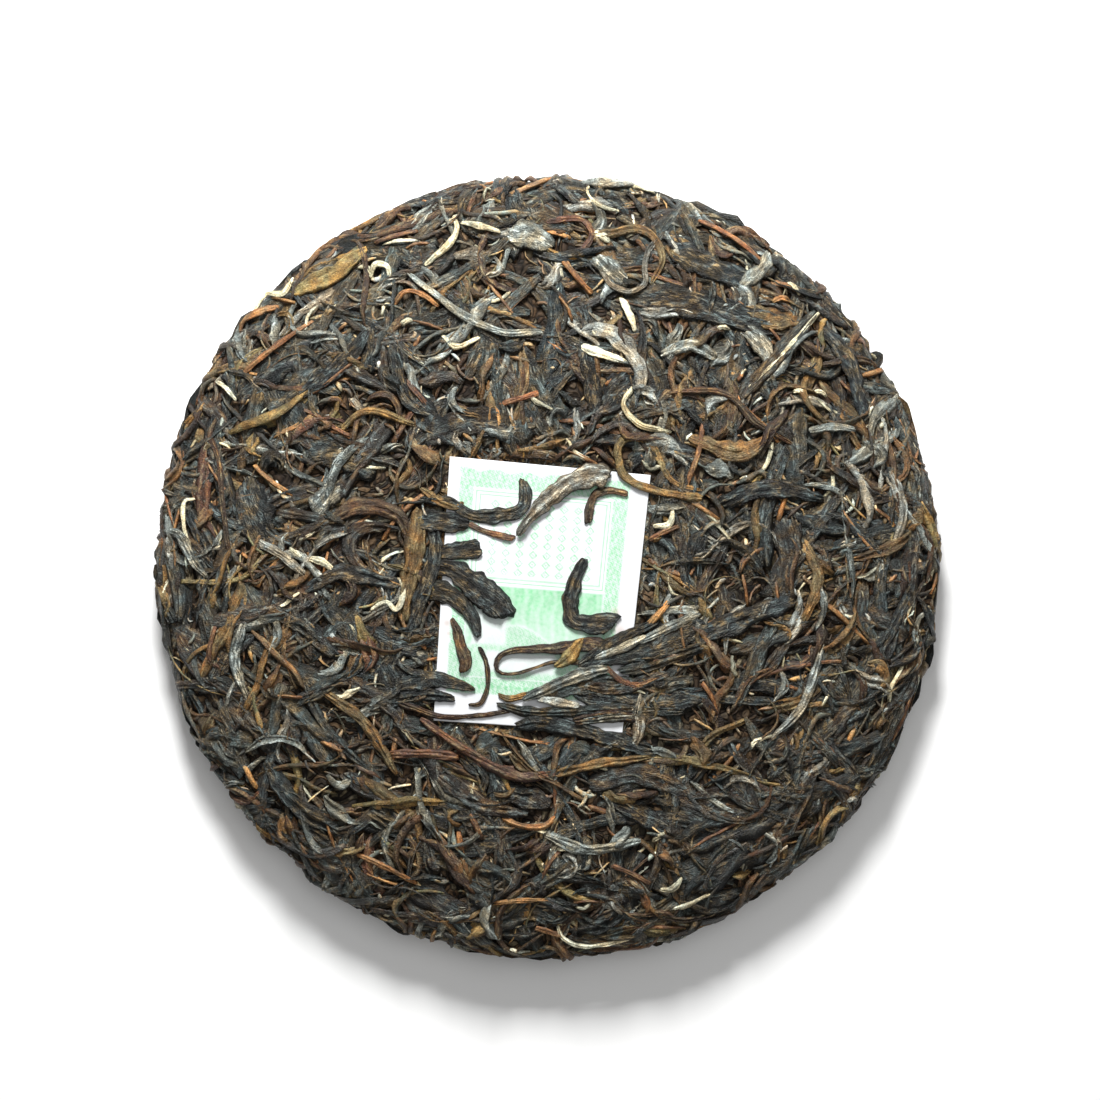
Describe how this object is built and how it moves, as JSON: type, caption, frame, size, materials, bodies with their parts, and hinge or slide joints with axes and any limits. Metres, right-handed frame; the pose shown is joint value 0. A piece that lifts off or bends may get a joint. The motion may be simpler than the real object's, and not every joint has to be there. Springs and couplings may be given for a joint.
{
  "type": "pressed pu-erh tea cake",
  "caption": "Round cake of pressed dark tea leaves with a domed face, a rounded rim, a paper ticket held in the face by a few leaves, and a hollow in the middle of its flat back.",
  "frame": {"origin": "middle of the disc, on the surface that its flat back rests on", "axes": "+Z out of the face with the ticket, +Y towards the ticket's top edge, +X to its right"},
  "size_m": [0.1994, 0.1998, 0.0239],
  "materials": {
    "tea_leaf": "dry pressed leaf, dull with a faint sheen",
    "grey_leaf": "dry downy leaf back, matt",
    "stalk": "dry ridged stalk, satin",
    "ticket_paper": "thin uncoated paper with pale green print"
  },
  "bodies": {
    "root": {"cake": "tea_leaf", "ticket": "ticket_paper", "grey_blade_on_ticket": "grey_leaf", "hooked_stalk_on_ticket": "stalk", "dark_leaf_on_ticket": "tea_leaf", "brown_strip_on_ticket": "tea_leaf", "hooked_twig_on_ticket": "stalk"}
  },
  "joints": []
}
